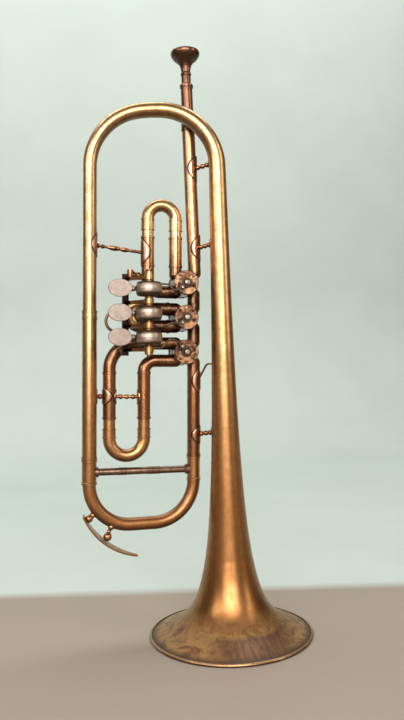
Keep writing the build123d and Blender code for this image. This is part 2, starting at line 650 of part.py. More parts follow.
def paddle(lever):
    """The oval touch-piece on its turned neck."""
    z = DRUM_Z[lever]
    wide, high, thick = PADDLE_SIZE
    face = Plane(origin=(PADDLE_X, PADDLE_Y, z), x_dir=(1, 0, 0), z_dir=(0, -1, 0))
    touch = extrude(face * Ellipse(wide / 2, high / 2), thick)
    touch = chamfer(touch.edges(), 0.4)
    root = Vector(AXLE_X - DRUM_R + 1, AXLE_Y, z)
    end = Vector(PADDLE_X + 3, PADDLE_Y + 0.9, z)
    neck = beaded(root, end, (0.27, 0.56), radius=1.7, bead=2.7)
    return touch + (neck - drum_envelope(lever))


def axle():
    """The rod through the bosses and drums, with a slotted head."""
    top, foot = ARM_Z[0] + 5.2, ARM_Z[3] - 6.0
    pivot = rod((AXLE_X, AXLE_Y, foot), (AXLE_X, AXLE_Y, top), AXLE_R - 0.02)
    head = lathe((AXLE_X, AXLE_Y, top), (0, 0, 1), [(0, 0), (0, 2.9), (1.2, 2.9), (1.8, 2.2), (1.8, 0)])
    return pivot + head - Pos(AXLE_X, AXLE_Y, top + 1.8) * Box(7, 0.8, 1.0)


def lever_frame():
    """A spine with four arms, each ending in a boss that holds the axle."""
    high, low = ARM_Z[0] + 5, ARM_Z[3] - 5
    frame = Pos(SPINE_X, SPINE_Y, (high + low) / 2) * Box(6.0, 3.0, high - low)
    boss_height = ARM_PITCH - DRUM_HEIGHT - 2 * SIDE_GAP
    for z in ARM_Z:
        centre = Vector(AXLE_X, AXLE_Y, z)
        root = Vector(SPINE_X, SPINE_Y, z)
        way = (root - centre).normalized()
        middle = (root + centre) * 0.5
        frame += Plane(origin=middle, x_dir=way, z_dir=(0, 0, 1)) * Box((root - centre).length, 4.4, 3.0)
        half = Vector(0, 0, boss_height / 2)
        frame += rod(centre - half, centre + half, BOSS_R)
        frame += rod(centre - half * 0.55, centre + half * 0.55, BOSS_R + 0.7)
    return frame - rod((AXLE_X, AXLE_Y, low - 5), (AXLE_X, AXLE_Y, high + 5), AXLE_R)


def cork_rail():
    """The padded strip in front of the spine, behind the paddles."""
    high, low = ARM_Z[0] - 4, ARM_Z[3] + 4
    pads = Pos(SPINE_X - 1.2, SPINE_Y - 2.7, (high + low) / 2) * Box(3.4, 2.4, high - low)
    for z in ARM_Z[1:3]:
        pads -= Pos(SPINE_X, SPINE_Y - 2.7, z) * Box(12, 4, 4.0)
    return pads


def frame_posts():
    """Two posts that hold the spine: to the first slide's sleeve and to the third slide's bend."""
    y = SPINE_Y + 1.5
    top = Vector(SPINE_X + 4.5, SPINE_Y, ARM_Z[0] + 4.0)
    end = Vector(SLIDE_1_X[0], VALVE_Y, ARM_Z[0] + 5.5)
    upper = rod(top, end, 2.2) + ball(top + (end - top) * 0.12, 4.1) + ball(top + (end - top) * 0.42, 3.6)
    upper += rod(top - Vector(0, 0, 2), top + Vector(0, 0, 5), 3.0)
    upper -= rod((SLIDE_1_X[0], VALVE_Y, 310), (SLIDE_1_X[0], VALVE_Y, 343), KNUCKLE[0])
    upper -= Pos(SPINE_X, SPINE_Y, ARM_Z[0]) * Box(6.0, 3.0, 10.0)
    upper -= rod((AXLE_X, AXLE_Y, ARM_Z[0]), (AXLE_X, AXLE_Y, ARM_Z[0] + 12), BOSS_R + 1)
    foot = Vector(SPINE_X - 2.0, y, ARM_Z[3] - 1.0)
    lower = rod(foot, foot + Vector(-2.5, 12, 0), 2.4)
    route = [(ROTOR_X, VALVE_Y, port_line(2, 1)), (SLIDE_3_X[0], VALVE_Y, port_line(2, 1))]
    lower -= bent(route + [(SLIDE_3_X[0], VALVE_Y, 200)], 25.0, KNUCKLE[0])
    lower -= Pos(SPINE_X, SPINE_Y, ARM_Z[3]) * Box(20.0, 3.0, 20.0)
    return upper.solids() + lower.solids()


def thumb_ring():
    ring = along(THUMB_RING, (0, 1, 0)) * Torus(THUMB_RING_R, THUMB_WIRE_R)
    lug = Pos(SPINE_X - 0.6, SPINE_Y + 2.7, THUMB_RING[2] + 2) * Box(4.2, 2.4, 10)
    return ring + lug


def lever_spring(lever):
    """A clock spring coiled in its drum, as half rings that step outwards."""
    halves = []
    for half in range(SPRING_HALVES):
        radius = AXLE_R + SPRING_THICK + SPRING_PITCH / 2 * half
        side = 1 if half % 2 else -1
        ring = Cylinder(radius + SPRING_THICK / 2, SPRING_HEIGHT)
        ring -= Cylinder(radius - SPRING_THICK / 2, SPRING_HEIGHT)
        keep = Pos(0, side * 10, 0) * Box(40, 20, SPRING_HEIGHT)
        halves.append(Pos(side * SPRING_PITCH / 4, 0, 0) * (ring & keep))
    coil = Pos(AXLE_X, AXLE_Y, DRUM_Z[lever]) * sum(halves[1:], halves[0])
    return coil - rod((AXLE_X, AXLE_Y, ARM_Z[3]), (AXLE_X, AXLE_Y, ARM_Z[0]), AXLE_R - 0.02)


LINK_BENDS = (
    ((-78, 2.2), (-60, 2.4), (-53.5, -2.6)),
    ((-78, -2.0), (-66, -3.4), (-56, 0.6)),
    ((-76, -1.8), (-66, -2.2), (-58.5, 5.6), (-53, 4.6)),
)  # x, and height over the line between a link's two ends


def slot(centre, rise, radius, thick):
    """An upright slot, filled, whose two ends are rise apart."""
    half, side = Vector(0, 0, rise / 2), Vector(0, thick / 2, 0)
    shape = Pos(*centre) * Box(2 * radius, thick, rise)
    for end in (centre - half, centre + half):
        shape += rod(end - side, end + side, radius)
    return shape


def s_link(lever):
    """The bent wire from a crank to its stop arm. Its far eye is a slot, because the stop arm's pin rises."""
    pin = crank_pin(lever)
    side = STOP_SIDE[lever]
    tip = stop_point(lever, 135, STOP_ARM_R, LINK_Y)
    rise = STOP_ARM_R * (1 - sin(radians(45)))
    eye = Vector(tip.X, LINK_Y, tip.Z + side * rise / 2)
    route = [pin]
    for x, above in LINK_BENDS[lever]:
        share = (x - pin.X) / (eye.X - pin.X)
        route.append(Vector(x, LINK_Y, pin.Z + share * (eye.Z - pin.Z) + above))
    wire = bent(route + [eye], 2.0, LINK_WIRE_R)
    near = Vector(0, 0, LINK_EYE_THICK / 2)
    wire += rod(pin - near, pin + near, CRANK_PIN_R + 1.3)
    wire -= rod(pin - near * 4, pin + near * 4, CRANK_PIN_R + 0.08)
    radius = STOP_PIN_R + SLOT_GAP
    wire += slot(eye, rise, radius + 0.9, LINK_EYE_THICK)
    return wire - slot(eye, rise, radius, 3 * LINK_EYE_THICK)


# Stays


def saddle(axis_point, way, length, width, radius, thick=0.7):
    """An oval plate bent round an upright tube, where a stay meets it."""
    way = Vector(way.X, way.Y, 0).normalized()
    plane = Plane(origin=axis_point, x_dir=(0, 0, 1), z_dir=way)
    prism = extrude(plane * Ellipse(length / 2, width / 2), radius + thick + 2)
    low, high = axis_point - Vector(0, 0, length), axis_point + Vector(0, 0, length)
    return prism & rod(low, high, radius + thick)


def beaded(start, end, beads, radius=1.3, bead=2.2):
    """A turned stay: beads are shares of the way from start to end."""
    length = (end - start).length
    reach = sqrt(bead**2 - radius**2)
    outline = [(0, 0), (0, radius)]
    for share in beads:
        for step in (-1, -0.6, 0, 0.6, 1):
            outline.append((length * share + reach * step, sqrt(bead**2 - (reach * step) ** 2)))
    return lathe(start, end - start, outline + [(length, radius), (length, 0)])


def lead_point(z):
    way = lead_axis()
    return LEAD_FOOT + way * ((z - LEAD_FOOT.Z) / way.Z)


def bell_point(z):
    """The bell's axis in the body frame."""
    lean = radians(LEAN)
    across = Vector(LEFT_X, LEFT_Y, 0).normalized()
    return across * (sin(lean) / cos(lean) * z) + Vector(0, 0, z)


def bell_brace(start, pipe, tube_r, bell_z, saddle_length):
    """A beaded stay from an upright tube, filled as the pipe, to the bell, with a plate at each end."""
    end = bell_point(bell_z)
    length = (end - start).length
    bell_r = bell_radius(bell_z)
    clear = length - tube_r - bell_r
    beads = [(tube_r + clear * share) / length for share in (0.17, 0.5, 0.83)]
    stay = beaded(start, end, beads, radius=1.5, bead=2.5) - pipe - horn_in_body()
    plates = saddle(start, end - start, saddle_length, 2 * tube_r * 0.82, tube_r) - pipe
    plates += saddle(end, start - end, 8, 7, bell_r + 0.1) - horn_in_body()
    return stay + plates


def horn_in_body():
    """The filled bell, moved from its own upright frame into the body frame."""
    return bell_envelope().rotate(Axis((0, 0, 0), LEAN_NORMAL), -LEAN)


def bell_braces():
    """Two stays from the leadpipe and one from the right leg. The highest also meets the top bow."""
    lead = rod(LEAD_FOOT, LEAD_TOP, LEADPIPE[0])
    leg = rod((MAIN_X, VALVE_Y, RECEIVER_END_Z), (MAIN_X, VALVE_Y, VALVE_Z[2] - 13), RIGHT_RECEIVER[0])
    (high, bell_high), (middle, bell_middle), (low, bell_low) = BELL_BRACE_Z
    stays = (bell_brace(lead_point(high), lead, LEADPIPE[0], bell_high, 25) - bow_envelope()).solids()
    stays += bell_brace(lead_point(middle), lead, LEADPIPE[0], bell_middle, 26).solids()
    foot = Vector(MAIN_X, VALVE_Y, low)
    return stays + bell_brace(foot, leg, RIGHT_RECEIVER[0], bell_low, 17).solids()


def cross_brace(start, end, radii, stay, plate_length):
    """A stay between two upright tubes of the given radii, with an oval plate on each."""
    way = end - start
    for point, facing, radius in ((start, way, radii[0]), (end, way * -1, radii[1])):
        up = Vector(0, 0, plate_length)
        pipe = rod(point - up, point + up, radius)
        stay = stay - pipe
        stay += saddle(point, facing, plate_length, 8.6, radius) - pipe
    return stay


SLIDE_1_STAY = (
    (0.0, 1.5), (0.115, 1.5), (0.13, 2.3), (0.155, 2.3), (0.17, 1.3), (0.19, 1.3), (0.205, 2.1), (0.225, 2.1),
    (0.25, 1.3), (0.30, 1.4), (0.36, 2.3), (0.405, 2.6), (0.46, 2.3), (0.515, 1.5), (0.55, 2.1), (0.585, 2.4),
    (0.63, 2.1), (0.67, 1.4), (0.72, 1.6), (0.80, 1.5), (0.90, 1.7), (1.0, 1.8),
)  # share of the way, radius


def slide_1_brace():
    """The long turned stay from the left tube to the first slide's sleeve."""
    left_z, sleeve_z = SLIDE_1_BRACE_Z
    start, end = Vector(LEFT_X, LEFT_Y, left_z), Vector(SLIDE_1_X[0], VALVE_Y, sleeve_z)
    length = (end - start).length
    outline = [(0, 0)] + [(length * share, radius) for share, radius in SLIDE_1_STAY] + [(length, 0)]
    stay = lathe(start, end - start, outline)
    return cross_brace(start, end, (BOW_R, SLEEVE[0]), stay, 22)


def slide_3_braces():
    """Two stays in line: left tube to the third slide's outer sleeve, and across its two sleeves."""
    left_z, middle_z, right_z = SLIDE_3_BRACE_Z
    left, middle = Vector(LEFT_X, LEFT_Y, left_z), Vector(SLIDE_3_X[0], VALVE_Y, middle_z)
    right = Vector(SLIDE_3_X[1], VALVE_Y, right_z)
    outer = SLEEVE[0]
    short = beaded(left, middle, (0.52,), radius=1.7, bead=2.6)
    long = beaded(middle, right, (0.32, 0.5, 0.68), radius=1.6, bead=2.5)
    stays = cross_brace(left, middle, (LEFT_RECEIVER[0], outer), short, 14).solids()
    return stays + cross_brace(middle, right, (outer, outer), long, 14).solids()


def wire_brace():
    """The thin bent wire from the bell to the right leg, with a plate on the leg."""
    leg = Vector(MAIN_X, VALVE_Y, WIRE_BRACE_Z[1])
    start = bell_point(WIRE_BRACE_Z[0])
    wire = bent([start, WIRE_CORNER, leg + Vector(3.5, -3.5, 0)], 4.0, 0.95)
    pipe = rod(leg - Vector(0, 0, 20), leg + Vector(0, 0, 14), RIGHT_RECEIVER[0])
    plate = saddle(leg, start - leg, 18, 8.5, RIGHT_RECEIVER[0]) - pipe
    return wire - horn_in_body() - pipe + plate


# Everything


def main():
    write("bell", Compound(bell()), leaning=False)
    write("rim_wire", rim_wire_envelope(), leaning=False)
    write("top_bow", top_bow())
    write("bow_ferrule", bow_ferrule())
    write("left_receiver", left_receiver())
    write("right_receiver", right_receiver())
    write("main_knuckles", Compound(main_knuckle(0).solids() + main_knuckle(1).solids()))
    write("leadpipe", leadpipe())
    write("mouthpiece_receiver", mouthpiece_receiver())
    write("mouthpiece", mouthpiece())
    write("main_slide_legs", main_slide_legs())
    write("main_slide_ferrules", main_slide_ferrules())
    write("main_bow", main_bow())
    write("main_slide_brace", main_slide_brace())
    write("finger_hook", finger_hook())
    plates, corks, springs = [], [], []
    for valve in range(3):
        number = valve + 1
        write(f"valve_casing_{number}", valve_casing(valve))
        write(f"bottom_cap_{number}", bottom_cap(valve))
        write(f"rotor_{number}", rotor(valve))
        write(f"stop_arm_{number}", Compound(stop_arm(valve).solids() + stop_screw(valve).solids()))
        write(f"drum_{number}", Compound(drum(valve)))
        write(f"paddle_{number}", paddle(valve))
        write(f"s_link_{number}", s_link(valve))
        plates += bearing_plate(valve).solids()
        corks += [solid for cork in stop_corks(valve) for solid in cork.solids()]
        springs += lever_spring(valve).solids()
    write("bearing_plates", Compound(plates))
    write("stop_corks", Compound(corks))
    write("lever_springs", Compound(springs))
    for node, shape in slide_sleeves().items():
        write(node, shape)
    for node, (ends, far, way, ferrule) in valve_slides().items():
        write(f"{node}_legs", slide_legs(ends, far))
        write(f"{node}_bow", slide_bow(ends, way, ferrule))
    write("axle", axle())
    write("lever_frame", lever_frame())
    write("cork_rail", cork_rail())
    write("frame_posts", Compound(frame_posts()))
    write("thumb_ring", thumb_ring())
    write("bell_braces", Compound(bell_braces()))
    write("slide_1_brace", slide_1_brace())
    write("slide_3_braces", Compound(slide_3_braces()))
    write("wire_brace", wire_brace())


main()
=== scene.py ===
import json
import math

import bpy
from mathutils import Matrix, Vector

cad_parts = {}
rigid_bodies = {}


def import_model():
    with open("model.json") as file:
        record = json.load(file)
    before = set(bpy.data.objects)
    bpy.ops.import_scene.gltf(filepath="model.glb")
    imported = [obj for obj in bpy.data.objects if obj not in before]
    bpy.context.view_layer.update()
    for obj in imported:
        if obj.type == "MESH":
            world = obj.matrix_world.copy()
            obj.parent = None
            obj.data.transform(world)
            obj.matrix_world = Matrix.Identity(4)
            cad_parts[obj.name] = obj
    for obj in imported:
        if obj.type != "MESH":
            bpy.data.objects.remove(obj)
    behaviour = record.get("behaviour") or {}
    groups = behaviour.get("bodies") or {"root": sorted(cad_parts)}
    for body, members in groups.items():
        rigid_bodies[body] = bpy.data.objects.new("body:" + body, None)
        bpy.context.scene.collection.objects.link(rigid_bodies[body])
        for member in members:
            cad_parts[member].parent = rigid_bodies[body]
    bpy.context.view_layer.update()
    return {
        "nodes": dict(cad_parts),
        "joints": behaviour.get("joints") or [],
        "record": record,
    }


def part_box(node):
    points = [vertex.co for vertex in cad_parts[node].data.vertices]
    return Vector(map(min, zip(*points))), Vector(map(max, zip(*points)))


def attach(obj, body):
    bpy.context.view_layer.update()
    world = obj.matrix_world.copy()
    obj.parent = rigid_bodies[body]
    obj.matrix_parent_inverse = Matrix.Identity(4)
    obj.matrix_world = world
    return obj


for leftover in list(bpy.data.objects):
    bpy.data.objects.remove(leftover)
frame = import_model()
nodes = frame["nodes"]
joints = {joint["name"]: joint for joint in frame["joints"]}


class Surface:
    """A Principled material whose inputs are driven by procedural nodes in object space.

    Its place is the object's own coordinates, in metres. Its dirt, if set, is the share of the surface where
    dull dirt hides the metal; on the bell's flare it also carries painted shade.
    """

    def __init__(self, name, metallic=1.0):
        self.material = bpy.data.materials.new(name)
        self.material.use_nodes = True
        tree = self.material.node_tree
        self.nodes, self.links = tree.nodes, tree.links
        self.nodes.clear()
        self.shader = self.add("BsdfPrincipled")
        self.shader.inputs["Metallic"].default_value = metallic
        self.links.new(self.shader.outputs[0], self.add("OutputMaterial").inputs[0])
        self.place = self.add("TexCoord").outputs["Object"]
        self.dirt = None

    def add(self, kind):
        return self.nodes.new("ShaderNode" + kind)

    def put(self, value, socket):
        if isinstance(value, bpy.types.NodeSocket):
            self.links.new(value, socket)
        elif isinstance(value, tuple) and len(value) == 3 and socket.type == "RGBA":
            socket.default_value = (*value, 1)
        else:
            socket.default_value = value

    def stretched(self, scale, turn=(0, 0, 0)):
        node = self.add("Mapping")
        node.inputs["Scale"].default_value = scale
        node.inputs["Rotation"].default_value = turn
        self.links.new(self.place, node.inputs["Vector"])
        return node.outputs[0]

    def noise(self, scale, detail=3.0, roughness=0.55, place=None, distortion=0.0):
        node = self.add("TexNoise")
        self.put(place or self.place, node.inputs["Vector"])
        settings = {"Scale": scale, "Detail": detail, "Roughness": roughness, "Distortion": distortion}
        for name, value in settings.items():
            node.inputs[name].default_value = value
        return node.outputs["Fac"]

    def ramp(self, value, *stops):
        node = self.add("ValToRGB")
        for element, (at, level) in zip(node.color_ramp.elements, stops, strict=True):
            element.position = at
            element.color = (level, level, level, 1)
        self.links.new(value, node.inputs[0])
        return node.outputs[0]

    def mix(self, factor, first, second, blend="MIX"):
        node = self.add("Mix")
        node.data_type = "RGBA"
        node.blend_type = blend
        sockets = {socket.identifier: socket for socket in node.inputs}
        self.put(factor, sockets["Factor_Float"])
        self.put(first, sockets["A_Color"])
        self.put(second, sockets["B_Color"])
        return next(socket for socket in node.outputs if socket.identifier == "Result_Color")

    def math(self, operation, first, second=0.0, clamp=False):
        node = self.add("Math")
        node.operation = operation
        node.use_clamp = clamp
        self.put(first, node.inputs[0])
        self.put(second, node.inputs[1])
        return node.outputs[0]

    def plus(self, first, second, clamp=False):
        return self.math("ADD", first, second, clamp)

    def minus(self, first, second, clamp=False):
        return self.math("SUBTRACT", first, second, clamp)

    def times(self, first, second):
        return self.math("MULTIPLY", first, second)

    def axis(self, letter):
        node = self.add("SeparateXYZ")
        self.links.new(self.place, node.inputs[0])
        return node.outputs[letter]

    def between(self, value, low, high):
        """0 at low, 1 at high, and a straight change between. High may be the smaller of the two."""
        share = self.math("DIVIDE", self.minus(value, low), high - low)
        return self.math("MINIMUM", self.math("MAXIMUM", share, 0.0), 1.0)

    def crevice(self, distance):
        """1 deep in a corner between pieces and 0 in the open."""
        node = self.add("AmbientOcclusion")
        node.samples = 6
        node.inputs["Distance"].default_value = distance
        return self.minus(1.0, node.outputs["AO"], clamp=True)

    def facing_down(self):
        """1 where the surface looks down and 0 where it looks level or up."""
        node = self.add("SeparateXYZ")
        self.links.new(self.add("NewGeometry").outputs["Normal"], node.inputs[0])
        return self.between(node.outputs["Z"], -0.08, -0.60)

    def bump(self, height, strength, distance, normal=None):
        node = self.add("Bump")
        node.inputs["Strength"].default_value = strength
        node.inputs["Distance"].default_value = distance
        self.links.new(height, node.inputs["Height"])
        if normal:
            self.links.new(normal, node.inputs["Normal"])
        return node.outputs[0]

    def finish(self, colour, roughness, normal=None):
        self.put(colour, self.shader.inputs["Base Color"])
        self.put(roughness, self.shader.inputs["Roughness"])
        if normal:
            self.put(normal, self.shader.inputs["Normal"])
        return self.material


# Brass


# Near black: the colour of grime and dark spots, and of the painted shade in corners between pieces.
GRIME_AND_SHADE = (0.030, 0.012, 0.006)
COPPER_Z, BRIGHT_Z = 0.13, 0.37  # below the first the brass has its low colour, above the second its high one
SMOOTH, WORN, DIMPLED, DENTED = 0.0001, 0.0002, 0.0004, 0.0006  # how deep the dents in a piece are


def brass(name, high, low, tarnish, cover_at, roughness, dents=SMOOTH, stains_and_shade=None, coat=0.45):
    """Unlacquered brass: its clean colour changes from low to high up the horn, under cloudy brown tarnish,
    dark spots, grime and painted shade where pieces meet, and painted shade on its undersides. The smaller
    cover_at is, the more of it is tarnished."""
    s = Surface(name)
    cloud = s.noise(24, 5, 0.6, distortion=0.5)
    mottle = s.noise(150, 6, 0.65, distortion=0.3)
    streak = s.noise(1, 5, 0.6, s.stretched((380, 380, 20)))
    spots = s.noise(520, 4, 0.6)

    climb = s.between(s.axis("Z"), COPPER_Z, BRIGHT_Z)
    drift = s.plus(climb, s.times(s.minus(cloud, 0.5), 0.9), clamp=True)
    cover = s.plus(s.times(cloud, 0.55), s.times(mottle, 0.45))
    cover = s.plus(cover, s.times(s.minus(streak, 0.5), 0.45))
    cover = s.ramp(cover, (cover_at - 0.13, 0.0), (cover_at + 0.17, 1.0))
    colour = s.mix(s.times(cover, 0.8), s.mix(drift, low, high), tarnish)
    colour = s.mix(s.ramp(spots, (0.60, 0.0), (0.72, 0.6)), colour, GRIME_AND_SHADE)
    # Extra colouring per piece: stains, and on the bell, rim wire and lever frame painted shade.
    if stains_and_shade:
        colour = stains_and_shade(s, colour)
    # Painted shade: surfaces that face down are darkened towards a dark tarnish colour.
    under = tuple(0.45 * value for value in tarnish)
    colour = s.mix(s.times(s.facing_down(), 0.8), colour, under)
    # Grime and painted shade: corners between pieces, found by ambient occlusion, are darkened nearly to
    # black.
    corner = s.ramp(s.crevice(0.007), (0.16, 0.0), (0.60, 1.0))
    colour = s.mix(s.times(corner, 0.93), colour, GRIME_AND_SHADE)

    rough = s.plus(roughness, s.times(cover, 0.10))
    rough = s.plus(rough, s.times(s.noise(70, 4, 0.6), 0.08))
    rough = s.plus(rough, s.times(corner, 0.25))
    if s.dirt:
        s.put(s.minus(1.0, s.dirt), s.shader.inputs["Metallic"])
        rough = s.plus(rough, s.times(s.dirt, 0.2))
    fine = s.bump(s.noise(2400, 3, 0.5), 0.12, 0.00005)
    dent = s.bump(s.noise(46, 2, 0.45), 0.5, dents, fine)
    s.shader.inputs["Coat Weight"].default_value = coat
    s.shader.inputs["Coat Roughness"].default_value = 0.16
    return s.finish(colour, rough, dent)


def darker_between_valves(s, colour):
    """The tubes between the valves are darkened nearly to black, more in some places than others."""
    z = s.axis("Z")
    near = s.times(s.between(z, 0.243, 0.268), s.between(z, 0.362, 0.330))
    patch = s.ramp(s.noise(95, 5, 0.65, distortion=0.6), (0.40, 0.45), (0.60, 1.0))
    return s.mix(s.times(near, patch), colour, (0.050, 0.020, 0.010))


def plate_stain(s, colour):
    """Blotches of dark dirt with sharp edges, and bright scratches, on the bearing plates."""
    blotch = s.ramp(s.noise(95, 5, 0.6, distortion=0.9), (0.47, 0.0), (0.53, 1.0))
    colour = s.mix(s.times(blotch, 0.9), colour, (0.085, 0.028, 0.012))
    hairs = s.noise(1, 4, 0.7, s.stretched((240, 240, 1900), (0, 0.6, 0)))
    return s.mix(s.ramp(hairs, (0.58, 0.0), (0.66, 0.7)), colour, (0.80, 0.55, 0.38))


def from_axis(s):
    """Distance from the bell's axis."""
    x, y = s.axis("X"), s.axis("Y")
    return s.math("SQRT", s.plus(s.times(x, x), s.times(y, y)))


def flare_stains_and_shade(s, colour):
    """The bell is painted darker towards its flare, as shade. The flare is mottled brown, and olive partly as
    a painted reflection of the green wall; its front has a dark red patch, part drips and part a painted
    reflection of the dark room; and a painted shadow lies in by the rim wire."""
    z = s.axis("Z")
    # Painted shade: the lower bell is darkened towards a red-brown.
    colour = s.mix(s.times(s.between(z, 0.16, 0.06), 0.5), colour, (0.27, 0.115, 0.036))

    low = s.between(z, 0.030, 0.012)
    # Mottled olive low on the flare: partly patina, partly a painted reflection of the green wall.
    olive = s.ramp(s.noise(75, 6, 0.7, distortion=1.0), (0.38, 0.15), (0.62, 1.0))
    colour = s.mix(s.times(low, olive), colour, (0.34, 0.195, 0.065))
    blotch = s.ramp(s.noise(58, 6, 0.7, distortion=1.6), (0.47, 0.0), (0.60, 0.8))
    colour = s.mix(s.times(low, blotch), colour, (0.12, 0.045, 0.014))

    # A dark red patch at the flare's front: drips, and a painted reflection of the dark room.
    drips = s.ramp(s.noise(1, 5, 0.7, s.stretched((190, 28, 10))), (0.36, 0.0), (0.62, 1.0))
    off_middle = s.math("ABSOLUTE", s.minus(s.axis("X"), 0.006))
    front = s.times(s.between(s.axis("Y"), -0.012, -0.034), s.between(off_middle, 0.044, 0.024))
    patch = s.times(s.between(z, 0.0150, 0.0125), front)
    patch = s.times(patch, s.plus(0.60, s.times(drips, 0.40)))
    colour = s.mix(patch, colour, (0.085, 0.029, 0.008))

    # Painted shadow: a dark band on the flare in by the rim wire, where the surface is also made dull.
    edge = s.between(from_axis(s), 0.0675, 0.0722)
    s.dirt = s.math("MAXIMUM", s.times(edge, 0.6), s.times(patch, 0.3))
    s.dirt = s.math("MAXIMUM", s.dirt, s.times(low, 0.55))
    return s.mix(s.times(edge, 0.85), colour, (0.060, 0.027, 0.010))


def rim_painted_shade(s, colour):
    """The rim wire is painted black on its inside as shade; its outside keeps the rim brass colour."""
    return s.mix(s.between(from_axis(s), 0.0746, 0.0738), colour, (0.02, 0.010, 0.006))


def spine_painted_shade(node):
    """The lever frame's spine is painted black as shade, and its arms are bare brass."""
    low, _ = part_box(node)

    def stains_and_shade(s, colour):
        return s.mix(s.between(s.axis("X"), low.x + 0.0085, low.x + 0.0075), colour, (0.012, 0.008, 0.006))

    return stains_and_shade


# Nickel silver, steel and cork


def nickel(name, light, dark, hair_scale, stains_and_shade=None, roughness=0.27):
    """Worn nickel silver, brown in its low places and brushed along the axis where hair_scale is smallest,
    with grime and painted shade in its corners.
    """
    s = Surface(name)
    cloud = s.noise(130, 5, 0.6)
    hair = s.noise(1, 5, 0.7, s.stretched(hair_scale))
    worn = s.ramp(s.noise(300, 4, 0.6), (0.50, 0.0), (0.66, 1.0))
    colour = s.mix(s.ramp(cloud, (0.35, 0.0), (0.7, 1.0)), light, dark)
    colour = s.mix(s.times(worn, 0.35), colour, (0.30, 0.17, 0.10))
    if stains_and_shade:
        colour = stains_and_shade(s, colour)
    # Grime and painted shade: corners between pieces, found by ambient occlusion, are darkened nearly to
    # black.
    corner = s.ramp(s.crevice(0.004), (0.2, 0.0), (0.6, 1.0))
    colour = s.mix(corner, colour, (0.035, 0.022, 0.014))
    rough = s.plus(roughness, s.times(hair, 0.22))
    return s.finish(colour, rough, s.bump(hair, 0.35, 0.00004))


def drum_dark_bands(node, crank_above):
    """Brown bands where a drum's rounded side turns in to its lid and its floor.

    Its crank reaches past the drum's own height by crank_above more at the top than at the bottom.
    """
    low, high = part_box(node)
    middle = (low.z + high.z) / 2 - crank_above

    def stains_and_shade(s, colour):
        off = s.math("ABSOLUTE", s.minus(s.axis("Z"), middle))
        return s.mix(s.between(off, 0.0028, 0.0046), colour, (0.085, 0.05, 0.03))

    return stains_and_shade


def screw_stain(node):
    """The stop arm is dark steel under a bright domed screw, which is its foremost part."""
    low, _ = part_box(node)

    def stains_and_shade(s, colour):
        return s.mix(s.between(s.axis("Y"), low.y + 0.0020, low.y + 0.0024), colour, (0.07, 0.042, 0.026))

    return stains_and_shade


def dark_steel(name):
    s = Surface(name)
    rust = s.ramp(s.noise(900, 4, 0.6), (0.45, 0.0), (0.7, 1.0))
    colour = s.mix(rust, (0.15, 0.115, 0.085), (0.085, 0.04, 0.02))
    return s.finish(colour, s.plus(0.32, s.times(rust, 0.3)), s.bump(rust, 0.3, 0.00005))


def cork_surface(name):
    s = Surface(name, metallic=0.0)
    cell = s.add("TexVoronoi")
    cell.inputs["Scale"].default_value = 1900
    s.put(s.place, cell.inputs["Vector"])
    grain = s.ramp(cell.outputs["Distance"], (0.1, 0.0), (0.8, 1.0))
    colour = s.mix(grain, (0.012, 0.008, 0.006), (0.05, 0.03, 0.02))
    return s.finish(colour, s.plus(0.75, s.times(grain, 0.15)), s.bump(grain, 0.5, 0.0002))


# Which finish each node has


BRIGHT, COPPER, BROWN = (0.76, 0.475, 0.22), (0.52, 0.24, 0.088), (0.25, 0.108, 0.036)
BARE = (0.60, 0.32, 0.14)
PINKISH = (0.40, 0.25, 0.17)
CHOCOLATE = (0.28, 0.12, 0.055)
BLACKENED = (0.05, 0.025, 0.015)
BOW_COLOURS = (0.44, 0.20, 0.075), (0.40, 0.175, 0.062), (0.22, 0.09, 0.03)
RIM_COLOURS = (0.60, 0.38, 0.21), (0.56, 0.34, 0.18), BROWN
PLATE_COLOURS = (0.58, 0.33, 0.18), (0.52, 0.27, 0.13), (0.15, 0.06, 0.025)
LEAD_COLOURS = (0.68, 0.40, 0.20), (0.56, 0.29, 0.13), (0.19, 0.075, 0.03)
RED_COLOURS = (0.64, 0.33, 0.16), (0.44, 0.19, 0.075), (0.13, 0.043, 0.016)
LEAF_COLOURS = (0.62, 0.36, 0.24), (0.58, 0.31, 0.19), (0.26, 0.11, 0.055)
GOLD = brass("golden_brass", BRIGHT, COPPER, BROWN, 0.52, 0.25, DIMPLED)
BELL = brass("bell_brass", BRIGHT, COPPER, BROWN, 0.51, 0.27, DENTED, flare_stains_and_shade, coat=0.08)
BOW = brass("bow_brass", *BOW_COLOURS, 0.50, 0.36, DIMPLED)
RIM = brass("rim_brass", *RIM_COLOURS, 0.52, 0.25, stains_and_shade=rim_painted_shade, coat=0.0)
PLATE = brass("plate_brass", *PLATE_COLOURS, 0.46, 0.30, stains_and_shade=plate_stain, coat=0.2)
LEAD = brass("leadpipe_brass", *LEAD_COLOURS, 0.48, 0.24, WORN, darker_between_valves, coat=0.35)
RED = brass("tarnished_brass", *RED_COLOURS, 0.46, 0.19, WORN, darker_between_valves, coat=0.3)
DARK = brass("dark_brass", CHOCOLATE, CHOCOLATE, (0.10, 0.036, 0.016), 0.48, 0.27)
LEAF = brass("saddle_brass", *LEAF_COLOURS, 0.52, 0.24)
SOLDER = brass("solder_line", BLACKENED, BLACKENED, (0.015, 0.008, 0.005), 0.45, 0.50)
FRAME = brass("frame_brass", BARE, BARE, BROWN, 0.52, 0.24, stains_and_shade=spine_painted_shade("lever_frame"), coat=0.0)
BLACK = brass("brace_brass", PINKISH, PINKISH, (0.12, 0.06, 0.035), 0.50, 0.25)
NICKEL = nickel("nickel_silver", (0.52, 0.45, 0.40), (0.27, 0.205, 0.165), (2600, 2600, 160))
TOUCH = nickel("paddle_nickel", (0.36, 0.30, 0.262), (0.235, 0.18, 0.15), (420, 300, 2400), roughness=0.40)
